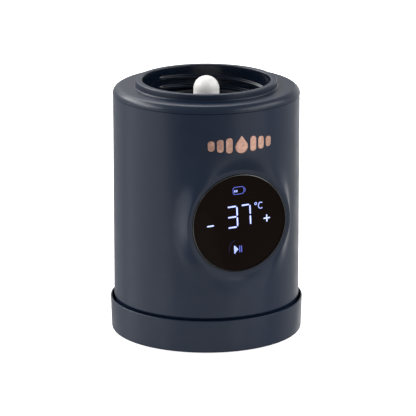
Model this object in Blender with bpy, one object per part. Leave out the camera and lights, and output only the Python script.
"""Portable bottle warmer: a cordless round body with a screw-in collar for the bottle, a round
touch display on a blended boss, a heated steel cup, a battery pack inside, and a cap that it
stands in.

Frame: metres, +Z up, origin at the middle of the foot ring's underside, display facing -Y.
Joints: the cap pulls off along -Z, and the charging port's flap folds out about a line along X.
"""

import math

import bmesh
import bpy
from mathutils import Matrix, Vector

MM = 0.001

# Driving dimensions
BODY_RADIUS = 42.5 * MM
COVER_RADIUS = BODY_RADIUS + 0.2 * MM
SEAM_HEIGHT = 110.6 * MM
SHOULDER_HEIGHT = 114.0 * MM
COLLAR_HEIGHT = 117.1 * MM
COLLAR_RADIUS = 32.2 * MM
MOUTH_RADIUS = 29.0 * MM
CAP_RIM_HEIGHT = 15.5 * MM
CAP_RIM_RADIUS = 44.2 * MM
DISPLAY_HEIGHT = 59.5 * MM
DISPLAY_DISTANCE = 40.0 * MM
BEZEL_RADIUS = 23.5 * MM
BEZEL_WIDTH = 0.9 * MM
PROBE_RADIUS = 5.9 * MM
PROBE_TOP = 118.6 * MM
PORT_HEIGHT = 24.0 * MM

# Walls and gaps
WALL = 2.2 * MM
GAP = 0.3 * MM
SEAT_HEIGHT = 102.8 * MM
CUP_RADIUS = 25.5 * MM
CUP_FLOOR = 84.0 * MM
CUP_WALL = 0.8 * MM
PLATE_BOTTOM = 4.6 * MM
CELL_RADIUS = 9.2 * MM
CELL_LENGTH = 65.0 * MM
CELL_BOTTOM = 9.1 * MM
CELL_SPACING = 9.8 * MM
DECK_BOTTOM = 75.6 * MM
DECK_THICKNESS = 1.6 * MM
COLUMN_RING = 35.5 * MM
COLUMN_RADIUS = 2.9 * MM

# The boss: a flat round face that eases into the round body
BOSS_FACE_RADIUS = 24.4 * MM
BOSS_FOOT_RADIUS = 38.5 * MM
BOSS_EDGE_SOFTNESS = 0.05
BOSS_FLANK_POWER = 3.6

# The charging port, behind the body
PORT_WIDTH = 14.0 * MM
PORT_TALL = 8.0 * MM
FLAP_THICKNESS = 1.4 * MM
FLAP_GAP = 0.35 * MM
SOCKET_MOUTH = 36.0 * MM

# The bottle thread inside the collar: two starts, with a gap in the ridges on two sides
THREAD_LEAD = 8.8 * MM
THREAD_TURN = math.radians(155)
THREAD_BEGIN = math.radians(119)
THREAD_DEPTH = 1.1 * MM
THREAD_TOP = 112.4 * MM

ROUND_STEPS = 36
DISPLAY_STEPS = 32
SMALL_STEPS = 10
WELD = 1e-7
SHARP_ANGLE = math.radians(35)
QUARTER = math.pi / 2

COLUMN_ANGLES = [math.radians(45 + 90 * k) for k in range(4)]
CLAMP_ANGLES = [math.radians(90 + 120 * k) for k in range(3)]
CLAMP_RING = 33.2 * MM


# Materials


def finish_of(name, colour, roughness, metallic=0.0):
    made = bpy.data.materials.new(name)
    made.use_nodes = True
    shader = made.node_tree.nodes["Principled BSDF"]
    shader.inputs["Base Color"].default_value = (*colour, 1.0)
    shader.inputs["Roughness"].default_value = roughness
    shader.inputs["Metallic"].default_value = metallic
    made.diffuse_color = (*colour, 1.0)
    return made


def all_finishes():
    return {
        "navy": finish_of("navy_soft_touch", (0.035, 0.046, 0.070), 0.5),
        "navy_rubber": finish_of("navy_silicone", (0.03, 0.04, 0.06), 0.7),
        "white": finish_of("probe_white", (0.86, 0.84, 0.80), 0.3),
        "seal": finish_of("seal_silicone", (0.035, 0.038, 0.045), 0.6),
        "steel": finish_of("cup_steel", (0.62, 0.62, 0.63), 0.28, 1.0),
        "fixing": finish_of("fixing_steel", (0.55, 0.55, 0.56), 0.35, 1.0),
        "heater": finish_of("heater_aluminium", (0.70, 0.71, 0.72), 0.4, 1.0),
        "lens": finish_of("lens_black", (0.008, 0.006, 0.005), 0.06),
        "bezel": finish_of("bezel_black", (0.02, 0.02, 0.024), 0.2),
        "guide": finish_of("guide_white", (0.85, 0.85, 0.85), 0.5),
        "board": finish_of("board_green", (0.02, 0.16, 0.07), 0.4),
        "frame": finish_of("frame_grey", (0.20, 0.21, 0.22), 0.6),
        "cell": finish_of("cell_wrap", (0.05, 0.22, 0.42), 0.35),
        "nickel": finish_of("nickel_strip", (0.66, 0.64, 0.58), 0.35, 1.0),
        "wire": finish_of("wire_black", (0.03, 0.03, 0.03), 0.5),
        "ribbon": finish_of("ribbon_white", (0.80, 0.80, 0.76), 0.45),
        "foam": finish_of("insulation_foam", (0.72, 0.72, 0.70), 0.95),
    }


# Shapes


def arc(centre, radius, start, end, steps):
    """Points of an arc in (radius, height), from one angle to another, in degrees."""
    angles = [math.radians(start + (end - start) * k / steps) for k in range(steps + 1)]
    return [
        (centre[0] + radius * math.cos(a), centre[1] + radius * math.sin(a))
        for a in angles
    ]


def at_angle(ring, angle, height=0.0):
    """A point on a ring about +Z."""
    return Vector((ring * math.cos(angle), ring * math.sin(angle), height))


def put(name, work, finish):
    """Makes an object from a bmesh, round faces shaded smooth."""
    mesh = bpy.data.meshes.new(name)
    bmesh.ops.recalc_face_normals(work, faces=work.faces)
    work.to_mesh(mesh)
    work.free()
    made = bpy.data.objects.new(name, mesh)
    bpy.context.scene.collection.objects.link(made)
    if finish:
        mesh.materials.append(finish)
    mesh.shade_smooth()
    mesh.set_sharp_from_angle(angle=SHARP_ANGLE)
    return made


def turned(name, outline, finish=None, steps=ROUND_STEPS):
    """Turns an outline of (radius, height) points about +Z. One that starts and ends on the axis is
    closed there, and any other is closed from its last point to its first."""
    work = bmesh.new()
    points = [work.verts.new((radius, 0.0, height)) for radius, height in outline]
    closed_by_axis = outline[0][0] < WELD and outline[-1][0] < WELD
    following = points[1:] + ([] if closed_by_axis else points[:1])
    edges = [work.edges.new(pair) for pair in zip(points, following)]
    bmesh.ops.spin(
        work,
        geom=points + edges,
        cent=(0, 0, 0),
        axis=(0, 0, 1),
        angle=2 * math.pi,
        steps=steps,
        use_merge=True,
    )
    bmesh.ops.remove_doubles(work, verts=work.verts, dist=WELD)
    return put(name, work, finish)


def disc(name, radius, low, high, finish=None, steps=ROUND_STEPS):
    return turned(name, [(0, low), (radius, low), (radius, high), (0, high)], finish, steps)


def ring(name, inner, outer, low, high, finish=None, steps=ROUND_STEPS):
    outline = [(inner, low), (outer, low), (outer, high), (inner, high)]
    return turned(name, outline, finish, steps)


def block(name, low, high, finish=None, rounding=0.0, along=None, segments=2):
    """A box between two corners. Its edges along one axis, or all of them, can be rounded."""
    low, high = Vector(low), Vector(high)
    size = high - low
    work = bmesh.new()
    bmesh.ops.create_cube(work, size=1.0, matrix=Matrix.Diagonal((*size, 1.0)))
    if rounding:
        chosen = [
            edge
            for edge in work.edges
            if along is None
            or abs((edge.verts[0].co - edge.verts[1].co).normalized()[along]) > 0.9
        ]
        bmesh.ops.bevel(
            work,
            geom=chosen,
            offset=rounding,
            segments=segments,
            profile=0.5,
            affect="EDGES",
        )
    made = put(name, work, finish)
    made.location = (low + high) / 2
    return made


def facing_front(thing):
    """Turns a solid made about +Z so that its axis runs along -Y, through the display's middle."""
    thing.rotation_euler = (QUARTER, 0, 0)
    thing.location = (0, 0, DISPLAY_HEIGHT)
    return thing


def helper(thing):
    """A shape that only cuts or joins another."""
    thing.hide_render = True
    thing.display_type = "WIRE"
    return thing


def combine(thing, other, operation):
    change = thing.modifiers.new(f"{operation.lower()}_{other.name}", "BOOLEAN")
    change.operation = operation
    change.solver = "EXACT"
    change.object = helper(other)
    return thing


def cut(thing, *cutters):
    for cutter in cutters:
        combine(thing, cutter, "DIFFERENCE")
    return thing


def join(thing, *others):
    for other in others:
        combine(thing, other, "UNION")
    return thing


def smooth_path(points, per_span):
    """Points along a smooth curve through the given points (a Catmull-Rom spline)."""
    ends = [2 * points[0] - points[1], *points, 2 * points[-1] - points[-2]]
    path = []
    for a, b, c, d in zip(ends, ends[1:], ends[2:], ends[3:]):
        for k in range(per_span):
            t = k / per_span
            path.append(
                0.5
                * (
                    2 * b
                    + (c - a) * t
                    + (2 * a - 5 * b + 4 * c - d) * t**2
                    + (3 * b - a - 3 * c + d) * t**3
                )
            )
    return path + [points[-1]]


def wire(name, path, radius, finish, sides_each_way=1):
    """A round wire along a list of points, with closed ends."""
    curve = bpy.data.curves.new(name, "CURVE")
    curve.dimensions = "3D"
    curve.bevel_depth = radius
    curve.bevel_resolution = sides_each_way
    curve.use_fill_caps = True
    curve.materials.append(finish)
    spline = curve.splines.new("POLY")
    spline.points.add(len(path) - 1)
    for point, place in zip(spline.points, path):
        point.co = (*place, 1.0)
    made = bpy.data.objects.new(name, curve)
    bpy.context.scene.collection.objects.link(made)
    return made


def screw(name, place, head_height, shank_tip, head_radius, shank_radius, finish):
    """A pan-head screw on +Z through a point: its head's free side is at head_height and its tip at
    shank_tip, so it points up if the tip is the higher."""
    way = 1 if shank_tip > head_height else -1
    head = 1.6 * MM * way
    rim = 0.4 * MM
    socket = 0.8 * MM
    outline = [
        (0, head_height + socket * way),
        (socket, head_height + socket * way),
        (socket, head_height),
        (head_radius - rim, head_height),
        (head_radius, head_height + rim * way),
        (head_radius, head_height + head),
        (shank_radius, head_height + head),
        (shank_radius, shank_tip),
        (0, shank_tip),
    ]
    made = turned(name, outline, finish, SMALL_STEPS)
    made.location = (place.x, place.y, 0)
    return made


# The cap that the warmer stands in


def make_cap(finish):
    foot_drop = 0.4 * MM
    floor = 2.4 * MM
    lip = 0.75 * MM
    bottom_radius = 43.7 * MM
    edge = 0.8 * MM
    inner_rim = CAP_RIM_RADIUS - lip
    inner_foot = inner_rim - 0.6 * MM
    groove_inner, groove_outer = 33.7 * MM, 38.3 * MM
    groove_roof = 1.2 * MM
    outline = [
        (0, foot_drop),
        (groove_inner, foot_drop),
        (groove_inner, groove_roof),
        (groove_outer, groove_roof),
        (groove_outer, foot_drop),
        *arc((bottom_radius - edge, foot_drop + edge), edge, -90, 0, 2),
        (CAP_RIM_RADIUS, CAP_RIM_HEIGHT - 0.4 * MM),
        (CAP_RIM_RADIUS - 0.3 * MM, CAP_RIM_HEIGHT),
        (inner_rim + 0.2 * MM, CAP_RIM_HEIGHT),
        (inner_rim, CAP_RIM_HEIGHT - 0.3 * MM),
        (inner_foot, floor + 1.0 * MM),
        (inner_foot - 1.0 * MM, floor),
        (0, floor),
    ]
    turned("base_cap", outline, finish["navy"])
    ring(
        "cap_foot_ring",
        groove_inner + GAP,
        groove_outer - GAP,
        0.0,
        groove_roof - GAP,
        finish["navy_rubber"],
    )
    disc("cap_liner", 40.0 * MM, floor + GAP, floor + GAP + 0.8 * MM, finish["seal"])


# The body


def boss_share(distance):
    """How much of the boss there is at a distance from the display's axis: 1 on its face, easing
    to 0 at its foot, quickly at the face's edge and slowly at the foot."""
    t = (distance - BOSS_FACE_RADIUS) / (BOSS_FOOT_RADIUS - BOSS_FACE_RADIUS)
    t = min(max(t, 0.0), 1.0)
    eased = t * t * (1 + BOSS_EDGE_SOFTNESS) / (t + BOSS_EDGE_SOFTNESS)
    return (1 - eased) ** BOSS_FLANK_POWER


def shell_radius(angle, height):
    """The body's outer radius at an angle from the front and a height."""
    if abs(angle) > math.radians(60):
        return BODY_RADIUS
    across = DISPLAY_DISTANCE * math.tan(angle)
    share = boss_share(math.hypot(across, height - DISPLAY_HEIGHT))
    return (1 - share) * BODY_RADIUS + share * DISPLAY_DISTANCE / math.cos(angle)


def shell_angles():
    """Angles round the body, from the front, close together where the boss is. Behind the body they
    keep the even spacing of every other turned piece."""
    even = 360 / ROUND_STEPS
    close = [0, 7, 14, 20, 25, 28.5, 31.5, 34, 36.5, 39.5, 43]
    wide = [even * k for k in range(5, ROUND_STEPS - 4)]
    degrees = [-a for a in reversed(close[1:])] + close + wide
    return [math.radians(a) for a in degrees]


def shell_heights(bottom):
    """Heights of the body's rings, close together where the boss is."""
    offsets = [0, 8, 15, 20, 24, 26, 28.5, 32, 38]
    steps = [-k for k in reversed(offsets[1:])] + offsets
    return [bottom] + [DISPLAY_HEIGHT + k * MM for k in steps] + [SEAM_HEIGHT]


def make_shell(finish):
    bottom = 3.9 * MM
    foot_edge = 1.0 * MM
    angles = shell_angles()
    work = bmesh.new()

    def add_ring(height, radii):
        return [
            work.verts.new((r * math.sin(a), -r * math.cos(a), height))
            for r, a in zip(radii, angles)
        ]

    # The foot is a little narrower where it stands in the cap, which leaves a shadow gap
    neck_radius = BODY_RADIUS - 0.7 * MM
    rings = [add_ring(bottom, [neck_radius - foot_edge for _ in angles])]
    for height in (bottom + foot_edge, CAP_RIM_HEIGHT - 0.2 * MM):
        rings.append(add_ring(height, [neck_radius for _ in angles]))
    for height in shell_heights(CAP_RIM_HEIGHT + 1.1 * MM):
        rings.append(add_ring(height, [shell_radius(a, height) for a in angles]))
    count = len(angles)
    for lower, upper in zip(rings, rings[1:]):
        for k in range(count):
            n = (k + 1) % count
            work.faces.new((lower[k], lower[n], upper[n], upper[k]))
    work.faces.new(list(reversed(rings[0])))
    work.faces.new(rings[-1])
    shell = put("body_shell", work, finish["navy"])

    inner_radius = BODY_RADIUS - WALL
    core = disc("shell_core", inner_radius, bottom - WALL, SEAM_HEIGHT + WALL)
    well = 26.0 * MM
    behind_boss = block(
        "boss_backing",
        (-well, -BODY_RADIUS - WALL, DISPLAY_HEIGHT - well),
        (well, -DISPLAY_DISTANCE + 2.7 * MM + WALL, DISPLAY_HEIGHT + well),
    )
    cut(core, behind_boss)
    lens_bore = facing_front(
        disc(
            "lens_bore",
            BEZEL_RADIUS + GAP,
            DISPLAY_DISTANCE - 2.7 * MM,
            DISPLAY_DISTANCE + 8 * MM,
            steps=DISPLAY_STEPS,
        )
    )
    board_bore = facing_front(
        disc(
            "board_bore",
            BEZEL_RADIUS - 2.5 * MM,
            DISPLAY_DISTANCE - 15 * MM,
            DISPLAY_DISTANCE,
            steps=DISPLAY_STEPS,
        )
    )
    port_hole = block(
        "port_hole",
        (-PORT_WIDTH / 2, 30 * MM, PORT_HEIGHT - PORT_TALL / 2),
        (PORT_WIDTH / 2, 50 * MM, PORT_HEIGHT + PORT_TALL / 2),
        rounding=1.8 * MM,
        along=1,
    )
    cut(shell, core, lens_bore, board_bore, port_hole)


def thread_ridge(side, level):
    """One ridge of the bottle thread, with a blunt crest. It rises from the collar's wall at its
    top end, winds down clockwise, and sinks back into the wall. The two sides are half a turn
    apart, and the second level is half a lead below the first."""
    steps = 11
    root, half_root, half_crest = 0.5 * MM, 1.25 * MM, 0.45 * MM
    run_out = 0.07
    start = THREAD_BEGIN + math.pi * side
    top = THREAD_TOP - THREAD_LEAD / 2 * level
    work = bmesh.new()
    sections = []
    for k in range(steps + 1):
        share = k / steps
        angle = start - THREAD_TURN * share
        height = top - THREAD_LEAD * THREAD_TURN / (2 * math.pi) * share
        rise = min(share / run_out, (1 - share) / run_out, 1.0)
        crest = MOUTH_RADIUS - THREAD_DEPTH * rise + 0.25 * MM * (1 - rise)
        section = [
            (MOUTH_RADIUS + root, height - half_root),
            (MOUTH_RADIUS + root, height + half_root),
            (crest, height + half_crest),
            (crest, height - half_crest),
        ]
        sections.append([work.verts.new(at_angle(r, angle, z)) for r, z in section])
    for near, far in zip(sections, sections[1:]):
        for k in range(4):
            n = (k + 1) % 4
            work.faces.new((near[k], near[n], far[n], far[k]))
    work.faces.new(sections[0])
    work.faces.new(list(reversed(sections[-1])))
    return put(f"thread_ridge_{side + 1}_{level + 1}", work, None)


def make_top_cover(finish):
    edge = SHOULDER_HEIGHT - SEAM_HEIGHT
    fillet = 0.8 * MM
    lip = 0.6 * MM
    ledge_inner = 25.6 * MM
    ledge_bottom = SEAT_HEIGHT - 1.6 * MM
    tube_outer = MOUTH_RADIUS + WALL
    underside = SHOULDER_HEIGHT - WALL
    spigot_outer = BODY_RADIUS - WALL - 0.4 * MM
    spigot_inner = 37.6 * MM
    spigot_bottom = 105.6 * MM
    groove_floor, groove_low, groove_high = 38.7 * MM, 107.2 * MM, 108.9 * MM
    outline = [
        *arc((COVER_RADIUS - edge, SEAM_HEIGHT), edge, 6, 90, 4),
        (COLLAR_RADIUS + fillet, SHOULDER_HEIGHT),
        (COLLAR_RADIUS, SHOULDER_HEIGHT + fillet),
        *arc((COLLAR_RADIUS - lip, COLLAR_HEIGHT - lip), lip, 0, 90, 2),
        (MOUTH_RADIUS + 1.1 * MM, COLLAR_HEIGHT),
        (MOUTH_RADIUS + 0.3 * MM, COLLAR_HEIGHT - 0.8 * MM),
        (MOUTH_RADIUS, COLLAR_HEIGHT - 2.0 * MM),
        (MOUTH_RADIUS, SEAT_HEIGHT),
        (ledge_inner, SEAT_HEIGHT),
        (ledge_inner, ledge_bottom),
        (tube_outer, ledge_bottom),
        (tube_outer, underside),
        (spigot_inner, underside),
        (spigot_inner, spigot_bottom),
        (spigot_outer, spigot_bottom),
        (spigot_outer, groove_low),
        (groove_floor, groove_low),
        (groove_floor, groove_high),
        (spigot_outer, groove_high),
        (spigot_outer, SEAM_HEIGHT + GAP),
    ]
    cover = turned("top_cover", outline, finish["navy"])
    join(cover, *[thread_ridge(side, level) for side in range(2) for level in range(2)])

    into_cover = underside + 0.6 * MM
    for k, angle in enumerate(COLUMN_ANGLES):
        foot = DECK_BOTTOM + DECK_THICKNESS + GAP
        boss = disc(f"cover_column_{k + 1}", COLUMN_RADIUS, foot, into_cover, steps=12)
        pilot = disc(f"cover_pilot_{k + 1}", 1.3 * MM, foot - WALL, foot + 9 * MM, steps=8)
        boss.location = pilot.location = at_angle(COLUMN_RING, angle)
        join(cover, boss)
        cut(cover, pilot)
    for k, angle in enumerate(CLAMP_ANGLES):
        boss_foot = ledge_bottom + 0.5 * MM
        boss = disc(f"clamp_boss_{k + 1}", 2.6 * MM, boss_foot, into_cover, steps=12)
        pilot = disc(
            f"clamp_pilot_{k + 1}", 1.2 * MM, ledge_bottom - WALL, into_cover - 3 * MM, steps=8
        )
        boss.location = pilot.location = at_angle(CLAMP_RING, angle)
        join(cover, boss)
        cut(cover, pilot)

    ring(
        "cover_seal",
        groove_floor + GAP,
        BODY_RADIUS - WALL - GAP,
        groove_low + GAP,
        groove_high - GAP,
        finish["seal"],
    )


def make_base(finish):
    top = PLATE_BOTTOM + 2.0 * MM
    radius = BODY_RADIUS - WALL - GAP
    plate = disc("base_plate", radius, PLATE_BOTTOM, top, finish["navy"])
    for k, angle in enumerate(COLUMN_ANGLES):
        well = disc(f"base_well_{k + 1}", 2.9 * MM, 0, PLATE_BOTTOM + 1.2 * MM, steps=12)
        hole = disc(f"base_hole_{k + 1}", 1.7 * MM, 0, 12 * MM, steps=8)
        well.location = hole.location = at_angle(COLUMN_RING, angle)
        cut(plate, well, hole)
        screw(
            f"base_screw_{k + 1}",
            at_angle(COLUMN_RING, angle),
            PLATE_BOTTOM - 0.7 * MM,
            18 * MM,
            2.5 * MM,
            1.1 * MM,
            finish["fixing"],
        )
    foot_low = PLATE_BOTTOM - 0.8 * MM
    groove = ring("foot_groove", 24.0 * MM, 29.0 * MM, 0, PLATE_BOTTOM + 0.6 * MM)
    cut(plate, groove)
    ring(
        "body_foot_ring",
        24.0 * MM + GAP,
        29.0 * MM - GAP,
        foot_low,
        PLATE_BOTTOM + 0.6 * MM - GAP,
        finish["navy_rubber"],
    )


# The heated cup


def make_cup(finish):
    rim_top = SEAT_HEIGHT - 1.6 * MM - 1.5 * MM
    outer = CUP_RADIUS + CUP_WALL
    flange = 30.6 * MM
    corner = 4.0 * MM
    hole = 4.6 * MM
    floor_corner = (CUP_RADIUS - corner, CUP_FLOOR + corner)
    outline = [
        (hole, CUP_FLOOR),
        *arc(floor_corner, corner, -90, 0, 2),
        (CUP_RADIUS, rim_top),
        (flange, rim_top),
        (flange, rim_top - CUP_WALL),
        (outer, rim_top - CUP_WALL),
        *arc(floor_corner, corner + CUP_WALL, 0, -90, 2),
        (hole, CUP_FLOOR - CUP_WALL),
    ]
    turned("heating_cup", outline, finish["steel"])
    ring(
        "cup_gasket",
        25.8 * MM,
        30.6 * MM,
        rim_top + GAP,
        rim_top + 1.5 * MM - GAP,
        finish["seal"],
    )

    clamp_top = rim_top - CUP_WALL - GAP
    clamp_low = clamp_top - 2.0 * MM
    clamp_outer = 37.2 * MM
    clamp = ring("clamp_ring", outer + GAP, clamp_outer, clamp_low, clamp_top, finish["frame"])
    for k, angle in enumerate(CLAMP_ANGLES):
        hole_cut = disc(f"clamp_hole_{k + 1}", 1.7 * MM, 80 * MM, 110 * MM, steps=8)
        hole_cut.location = at_angle(CLAMP_RING, angle)
        cut(clamp, hole_cut)
        screw(
            f"clamp_screw_{k + 1}",
            at_angle(CLAMP_RING, angle),
            clamp_low - 1.6 * MM - GAP,
            106.4 * MM,
            2.4 * MM,
            0.9 * MM,
            finish["fixing"],
        )
    for k, angle in enumerate(COLUMN_ANGLES):
        around_column = COLUMN_RADIUS + 0.5 * MM
        passage = disc(f"clamp_passage_{k + 1}", around_column, 80 * MM, 110 * MM, steps=12)
        passage.location = at_angle(COLUMN_RING, angle)
        cut(clamp, passage)

    ring(
        "insulation_sleeve",
        outer + GAP,
        30.6 * MM,
        CUP_FLOOR + 1.0 * MM,
        clamp_low - GAP,
        finish["foam"],
    )
    heater_top = CUP_FLOOR - CUP_WALL - GAP
    ring("heater_plate", 7.9 * MM, 21.0 * MM, heater_top - 2.3 * MM, heater_top, finish["heater"])
    shield = ring("heat_shield", 9.0 * MM, 25.5 * MM, 78.8 * MM, 79.4 * MM, finish["foam"])
    fuse_place = Vector((13.5 * MM, 0, 78.4 * MM))
    fuse_half = 5.0 * MM
    window = block(
        "fuse_window",
        fuse_place - Vector((2.6 * MM, fuse_half + 0.8 * MM, 4 * MM)),
        fuse_place + Vector((2.6 * MM, fuse_half + 0.8 * MM, 4 * MM)),
    )
    cut(shield, window)
    fuse = turned(
        "thermal_fuse",
        [
            (0, -fuse_half),
            (1.2 * MM, -fuse_half),
            (1.75 * MM, -fuse_half + 1.0 * MM),
            (1.75 * MM, fuse_half - 1.0 * MM),
            (1.2 * MM, fuse_half),
            (0, fuse_half),
        ],
        finish["fixing"],
        SMALL_STEPS,
    )
    fuse.rotation_euler = (QUARTER, 0, 0)
    fuse.location = fuse_place


def make_bottle_seal(finish):
    low = SEAT_HEIGHT + GAP
    high = low + 3.0 * MM
    edge = 0.6 * MM
    inner, outer = 25.2 * MM, MOUTH_RADIUS - THREAD_DEPTH - 2 * GAP
    outline = [
        (inner, low),
        (outer, low),
        (outer, high - edge),
        (outer - edge, high),
        (inner + edge, high),
        (inner, high - edge),
    ]
    turned("bottle_seal", outline, finish["seal"])


# The temperature probe in the cup's middle


def make_probe(finish):
    steps = 16
    cap_low = CUP_FLOOR + 1.5 * MM
    bore = 4.5 * MM
    dome_middle = PROBE_TOP - PROBE_RADIUS
    outline = [
        (bore, cap_low),
        (PROBE_RADIUS - 0.3 * MM, cap_low),
        (PROBE_RADIUS, cap_low + 0.3 * MM),
        *arc((0, dome_middle), PROBE_RADIUS, 0, 90, 5),
        *arc((0, dome_middle), bore, 90, 0, 3),
    ]
    turned("probe_cap", outline, finish["white"], steps)

    tube_low = 78.9 * MM
    tube_outer, tube_inner = 4.1 * MM, 3.3 * MM
    tube_top = dome_middle
    outline = [
        (tube_inner, tube_low),
        (tube_outer, tube_low),
        *arc((0, tube_top - 0.3 * MM), tube_outer, 0, 90, 3),
        *arc((0, tube_top - 0.3 * MM), tube_inner, 90, 0, 3),
    ]
    turned("probe_tube", outline, finish["steel"], steps)

    bead = 1.4 * MM
    bead_top = tube_top + 1.4 * MM
    outline = [
        *arc((0, bead_top - 4.2 * MM), bead, -90, 0, 2),
        *arc((0, bead_top - bead), bead, 0, 90, 2),
    ]
    turned("probe_sensor", outline, finish["wire"], 12)
    around_tube = tube_outer + GAP
    seal_low, seal_high = CUP_FLOOR + GAP, CUP_FLOOR + 1.2 * MM
    ring("probe_seal", around_tube, 8.4 * MM, seal_low, seal_high, finish["seal"], steps)
    nut_top = CUP_FLOOR - CUP_WALL - GAP
    nut_low = nut_top - 2.8 * MM
    nut = ring("probe_nut", around_tube, 7.2 * MM, nut_low, nut_top, finish["fixing"], 6)
    nut_hole = disc("nut_hole", around_tube, nut_low - WALL, nut_top + WALL, steps=steps)
    cut(nut, nut_hole)


# The display


def make_display(finish):
    front = DISPLAY_DISTANCE
    lens_radius = BEZEL_RADIUS - BEZEL_WIDTH - GAP
    lens_back = front - 1.7 * MM
    bevel = 0.25 * MM
    outline = [
        (0, lens_back),
        (lens_radius, lens_back),
        (lens_radius, front - 0.1 * MM - bevel),
        (lens_radius - bevel, front - 0.1 * MM),
        (0, front - 0.1 * MM),
    ]
    facing_front(turned("display_lens", outline, finish["lens"], DISPLAY_STEPS))
    bezel_inner = lens_radius + GAP
    outline = [
        (bezel_inner, lens_back),
        (BEZEL_RADIUS, lens_back),
        (BEZEL_RADIUS, front),
        (BEZEL_RADIUS - 0.2 * MM, front + 0.15 * MM),
        (bezel_inner, front),
    ]
    facing_front(turned("display_bezel", outline, finish["bezel"], DISPLAY_STEPS))
    bond_front = lens_back - GAP
    facing_front(
        ring(
            "display_bond",
            19.6 * MM,
            22.4 * MM,
            bond_front - 0.4 * MM,
            bond_front,
            finish["wire"],
            DISPLAY_STEPS,
        )
    )

    guide_front = front - 2.9 * MM
    guide_back = guide_front - 3.0 * MM
    guide_radius = 20.6 * MM
    guide = facing_front(
        disc("light_guide", guide_radius, guide_back, guide_front, finish["guide"], DISPLAY_STEPS)
    )
    windows = {
        "digits": ((-8.0, -3.5), (8.0, 9.5)),
        "battery": ((-4.0, 12.2), (4.0, 17.2)),
    }
    for name, (low, high) in windows.items():
        well = block(
            f"guide_window_{name}",
            (low[0] * MM, -front, DISPLAY_HEIGHT + low[1] * MM),
            (high[0] * MM, -guide_back + 5 * MM, DISPLAY_HEIGHT + high[1] * MM),
        )
        cut(guide, well)
    board_front = guide_back - GAP
    board_back = board_front - 1.2 * MM
    touch_places = {"minus": (-13.8, -0.4), "plus": (13.8, 0.4), "play": (0.0, -12.5)}
    for name, (across, up) in touch_places.items():
        hole = disc(f"guide_hole_{name}", 3.0 * MM, guide_back - WALL, front, steps=SMALL_STEPS)
        facing_front(hole)
        hole.location = (across * MM, 0, DISPLAY_HEIGHT + up * MM)
        cut(guide, hole)
        make_touch_spring(
            f"touch_spring_{name}",
            Vector((across * MM, 0, DISPLAY_HEIGHT + up * MM)),
            board_front + 0.5 * MM,
            lens_back - 1.2 * MM,
            finish["nickel"],
        )
    board = facing_front(
        disc("display_board", guide_radius, board_back, board_front, finish["board"], DISPLAY_STEPS)
    )
    chips = {
        "driver": ((-6.0, -6.0), (1.0, 1.0), 1.2),
        "ribbon_seat": ((9.0, -6.0), (13.0, 6.0), 1.4),
        "touch": ((-13.0, 5.0), (-8.0, 10.0), 1.0),
    }
    for name, (low, high, tall) in chips.items():
        chip = block(
            f"display_chip_{name}",
            (low[0] * MM, -board_back - 0.3 * MM, DISPLAY_HEIGHT + low[1] * MM),
            (high[0] * MM, -board_back + tall * MM, DISPLAY_HEIGHT + high[1] * MM),
        )
        join(board, chip)


def make_touch_spring(name, place, back, front, finish):
    """A short coil behind a touch key, its axis along -Y."""
    coils, per_coil, coil_radius = 3, 8, 2.0 * MM
    path = []
    for k in range(coils * per_coil + 1):
        angle = 2 * math.pi * k / per_coil
        depth = back + (front - back) * k / (coils * per_coil)
        path.append(
            place
            + Vector((coil_radius * math.cos(angle), -depth, coil_radius * math.sin(angle)))
        )
    wire(name, path, 0.3 * MM, finish, 0)


def make_ribbon(finish):
    """The flat cable from the display's board to the main board, on edge, round the battery."""
    middle, tall, thick = DISPLAY_HEIGHT, 10.0 * MM, 0.35 * MM
    start = Vector((14.2, -31.0, 0)) * MM
    end = Vector((13.5, 29.6, 0)) * MM
    bends = [(19.5, -24.5), (23.2, -12.0), (23.6, 0.0), (23.2, 12.0), (19.5, 24.0)]
    path = smooth_path([start, *[Vector((x, y, 0)) * MM for x, y in bends], end], 3)
    work = bmesh.new()
    sections = []
    for k, place in enumerate(path):
        along = (path[min(k + 1, len(path) - 1)] - path[max(k - 1, 0)]).normalized()
        side = Vector((along.y, -along.x, 0)) * thick / 2
        sections.append(
            [
                work.verts.new((*(place + side * s).xy, middle + tall / 2 * t))
                for s, t in ((1, 1), (-1, 1), (-1, -1), (1, -1))
            ]
        )
    for near, far in zip(sections, sections[1:]):
        for k in range(4):
            n = (k + 1) % 4
            work.faces.new((near[k], near[n], far[n], far[k]))
    work.faces.new(sections[0])
    work.faces.new(list(reversed(sections[-1])))
    put("display_ribbon", work, finish["ribbon"])


# The frame, the battery pack and the boards


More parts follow.
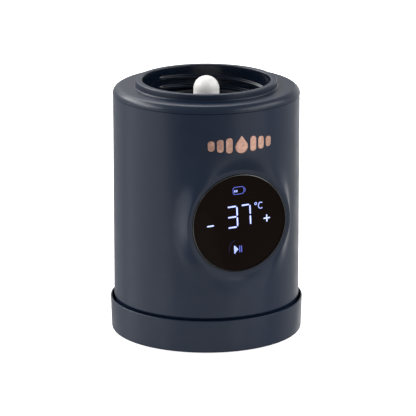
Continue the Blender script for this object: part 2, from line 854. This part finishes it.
def make_frame(finish):
    floor_low, floor_high = 6.9 * MM, 8.3 * MM
    into_floor = floor_low + 0.3 * MM
    radius = BODY_RADIUS - WALL - 0.8 * MM
    frame = disc("inner_frame", radius, floor_low, floor_high, finish["frame"])
    deck_top = DECK_BOTTOM + DECK_THICKNESS
    deck = disc("frame_deck", radius - 1.2 * MM, DECK_BOTTOM, deck_top)
    join(frame, deck)
    for k, angle in enumerate(COLUMN_ANGLES):
        name = f"frame_column_{k + 1}"
        column = disc(name, COLUMN_RADIUS, into_floor, deck_top - 0.3 * MM, steps=12)
        column.location = at_angle(COLUMN_RING, angle)
        join(frame, column)
    for side in (-1, 1):
        post_top = PORT_HEIGHT - 3.5 * MM
        post = disc(f"usb_post_{side}", 2.2 * MM, into_floor, post_top, steps=12)
        post.location = (side * 7.4 * MM, 28.6 * MM, 0)
        join(frame, post)
    pack = 2 * CELL_SPACING + 2 * MM
    fence = block(
        "pack_fence",
        (-pack, -pack, into_floor),
        (pack, pack, CELL_BOTTOM + 8 * MM),
        rounding=9 * MM,
        along=2,
    )
    pocket_half = CELL_SPACING + CELL_RADIUS + 0.4 * MM
    fence_pocket = block(
        "fence_pocket",
        (-pocket_half, -pocket_half, floor_high),
        (pocket_half, pocket_half, CELL_BOTTOM + 12 * MM),
    )
    join(frame, fence)
    cut(frame, fence_pocket)
    under_deck, over_deck = 70.0, 82.0
    deck_cuts = {
        "deck_notch_front": ((-23.0, -50.0), (23.0, -29.4)),
        "deck_notch_back": ((-11.0, 27.5), (11.0, 50.0)),
        "deck_window": ((-9.0, -8.0), (17.0, 8.0)),
    }
    for name, (near, far) in deck_cuts.items():
        cut(frame, block(name, Vector((*near, under_deck)) * MM, Vector((*far, over_deck)) * MM))
    well_low, well_high = 62.0 * MM, DECK_BOTTOM - 0.6 * MM
    well_radius = 2.7 * MM
    for k, angle in enumerate(COLUMN_ANGLES):
        bottom_pilot = disc(f"frame_pilot_{k + 1}", 1.4 * MM, 5 * MM, 20 * MM, steps=8)
        top_well = disc(f"frame_well_{k + 1}", well_radius, well_low, well_high, steps=12)
        top_hole = disc(f"frame_hole_{k + 1}", 1.5 * MM, 60 * MM, 90 * MM, steps=8)
        side_way = block(
            f"frame_way_{k + 1}",
            (0, -well_radius, well_low),
            (6 * MM, well_radius, well_high),
        )
        side_way.rotation_euler = (0, 0, angle)
        side_way.location = at_angle(COLUMN_RING + 3 * MM, angle, (well_low + well_high) / 2)
        for tool in (bottom_pilot, top_well, top_hole):
            tool.location = at_angle(COLUMN_RING, angle)
        cut(frame, bottom_pilot, top_well, top_hole, side_way)
        screw(
            f"frame_screw_{k + 1}",
            at_angle(COLUMN_RING, angle),
            well_high - GAP - 1.6 * MM,
            84 * MM,
            2.3 * MM,
            1.0 * MM,
            finish["fixing"],
        )


def make_battery(finish):
    bevel = 0.8 * MM
    top = CELL_BOTTOM + CELL_LENGTH
    nub = 3.0 * MM
    number = 0
    for x in (-1, 1):
        for y in (-1, 1):
            number += 1
            outline = [
                (0, CELL_BOTTOM),
                (CELL_RADIUS - bevel, CELL_BOTTOM),
                (CELL_RADIUS, CELL_BOTTOM + bevel),
                (CELL_RADIUS, top - 1.2 * MM - bevel),
                (CELL_RADIUS - bevel, top - 1.2 * MM),
                (nub, top - 1.2 * MM),
                (nub, top),
                (0, top),
            ]
            cell = turned(f"battery_cell_{number}", outline, finish["cell"], 20)
            cell.location = (x * CELL_SPACING, y * CELL_SPACING, 0)
    reach = CELL_SPACING + 4 * MM
    strip = 3.5 * MM
    thick = 0.25 * MM
    low = CELL_BOTTOM - GAP
    block(
        "battery_strip_bottom",
        (-reach, -reach, low - thick),
        (reach, reach, low),
        finish["nickel"],
    )
    high = top + GAP
    for name, side in (("left", -1), ("right", 1)):
        middle = side * CELL_SPACING
        block(
            f"battery_strip_{name}",
            (middle - strip, -reach, high),
            (middle + strip, reach, high + thick),
            finish["nickel"],
        )


def make_boards(finish):
    front, thick = 30.4 * MM, 1.6 * MM
    low, high, half = 33 * MM, 73 * MM, 19.5 * MM
    board = block("main_board", (-half, front, low), (half, front + thick, high), finish["board"])
    parts = {
        "coil": ((-14, 52), (-4, 62), 4.0),
        "switch_left": ((-16, 40), (-10, 47), 2.0),
        "switch_right": ((-7, 40), (-1, 47), 2.0),
        "controller": ((3, 44), (11, 52), 1.2),
        "charger": ((3, 35.5), (9, 41.5), 1.2),
        "heater_plug": ((-5, 66), (5, 71.5), 3.0),
        "sensor_plug": ((6, 62), (9, 67), 3.0),
    }
    back = front + thick
    for name, (start, end, tall) in parts.items():
        part = block(
            f"board_{name}",
            (start[0] * MM, back - 0.3 * MM, start[1] * MM),
            (end[0] * MM, back + tall * MM, end[1] * MM),
        )
        join(board, part)
    inward_plugs = {
        "battery_plug": ((-15, 65), (-7, 71), 3.0),
        "usb_plug": ((-4, 35), (4, 40), 2.4),
    }
    for name, (start, end, tall) in inward_plugs.items():
        plug = block(
            f"board_{name}",
            (start[0] * MM, front - tall * MM, start[1] * MM),
            (end[0] * MM, front + 0.3 * MM, end[1] * MM),
        )
        join(board, plug)

    board_top = PORT_HEIGHT - 1.6 * MM - GAP
    block(
        "usb_board",
        (-10 * MM, 26.5 * MM, board_top - 1.2 * MM),
        (10 * MM, SOCKET_MOUTH - 0.2 * MM, board_top),
        finish["board"],
    )
    half_wide, half_tall, deep = 4.5 * MM, 1.6 * MM, 7.3 * MM
    socket = block(
        "usb_socket",
        (-half_wide, SOCKET_MOUTH - deep, PORT_HEIGHT - half_tall),
        (half_wide, SOCKET_MOUTH, PORT_HEIGHT + half_tall),
        finish["fixing"],
        rounding=1.2 * MM,
        along=1,
    )
    wall = 0.3 * MM
    mouth = block(
        "socket_mouth",
        (-half_wide + wall, SOCKET_MOUTH - deep + 1.2 * MM, PORT_HEIGHT - half_tall + wall),
        (half_wide - wall, SOCKET_MOUTH + 2 * MM, PORT_HEIGHT + half_tall - wall),
        rounding=0.95 * MM,
        along=1,
    )
    tongue = block(
        "socket_tongue",
        (-3.3 * MM, SOCKET_MOUTH - deep + 0.6 * MM, PORT_HEIGHT - 0.35 * MM),
        (3.3 * MM, SOCKET_MOUTH - 0.7 * MM, PORT_HEIGHT + 0.35 * MM),
    )
    cut(socket, mouth)
    join(socket, tongue)

    wall = 1.2 * MM
    half_wide, half_tall = PORT_WIDTH / 2, PORT_TALL / 2
    sleeve_back, sleeve_front = SOCKET_MOUTH + 0.1 * MM, 39.0 * MM
    sleeve = block(
        "port_frame",
        (-half_wide - wall, sleeve_back, PORT_HEIGHT - half_tall - wall),
        (half_wide + wall, sleeve_front, PORT_HEIGHT + half_tall + wall),
        finish["frame"],
        rounding=2.4 * MM,
        along=1,
    )
    bore = block(
        "port_frame_bore",
        (-half_wide, sleeve_back - WALL, PORT_HEIGHT - half_tall),
        (half_wide, sleeve_front + WALL, PORT_HEIGHT + half_tall),
        rounding=1.8 * MM,
        along=1,
    )
    cut(sleeve, bore)


def make_port_flap(finish):
    """The soft flap in the port's mouth, flush with the body, its origin on the fold below it."""
    half_wide = PORT_WIDTH / 2 - FLAP_GAP
    half_tall = PORT_TALL / 2 - FLAP_GAP
    fold = Vector((0, BODY_RADIUS - 0.1 * MM, PORT_HEIGHT - half_tall))
    flap = ring(
        "port_flap",
        BODY_RADIUS - FLAP_THICKNESS,
        BODY_RADIUS,
        PORT_HEIGHT - PORT_TALL,
        PORT_HEIGHT + PORT_TALL,
        finish["navy_rubber"],
    )
    flap.data.transform(Matrix.Translation(-fold))
    flap.location = fold
    face = block(
        "flap_outline",
        (-half_wide, 30 * MM, PORT_HEIGHT - half_tall),
        (half_wide, 50 * MM, PORT_HEIGHT + half_tall),
        rounding=1.5 * MM,
        along=1,
    )
    combine(flap, face, "INTERSECT")


def make_leads(finish):
    """The wires between the heater, probe, battery, charging socket and main board."""
    routes = {
        "heater_lead": [
            (0, 18.6, 80.0),
            (0, 23.0, 80.05),
            (0, 27.4, 79.6),
            (0, 31.4, 77.8),
            (0, 33.6, 74.6),
            (0, 33.6, 71.9),
        ],
        "sensor_lead": [
            (0, 0, 108.1),
            (0, 0, 95.0),
            (0, 0, 80.5),
            (1.0, 4.0, 78.2),
            (6.0, 15.0, 78.0),
            (7.5, 25.0, 78.1),
            (7.5, 30.2, 77.2),
            (7.5, 33.4, 72.6),
            (7.5, 33.6, 67.4),
        ],
        "battery_lead": [
            (-9.8, 14.5, 74.4),
            (-10.4, 19.5, 74.2),
            (-11.0, 24.6, 73.6),
            (-11.0, 28.9, 71.9),
        ],
        "usb_lead": [
            (0, 27.2, 22.9),
            (0, 25.6, 25.5),
            (0, 25.2, 30.0),
            (0, 26.2, 34.6),
            (0, 27.2, 37.5),
        ],
    }
    radii = {"heater_lead": 0.4, "sensor_lead": 0.4, "battery_lead": 0.5, "usb_lead": 0.5}
    for name, points in routes.items():
        path = smooth_path([Vector(p) * MM for p in points], 3)
        wire(name, path, radii[name] * MM, finish["wire"])


def main():
    for thing in list(bpy.data.objects):
        bpy.data.objects.remove(thing)
    finish = all_finishes()
    make_cap(finish)
    make_shell(finish)
    make_top_cover(finish)
    make_base(finish)
    make_cup(finish)
    make_bottle_seal(finish)
    make_probe(finish)
    make_display(finish)
    make_ribbon(finish)
    make_frame(finish)
    make_battery(finish)
    make_boards(finish)
    make_port_flap(finish)
    make_leads(finish)


main()
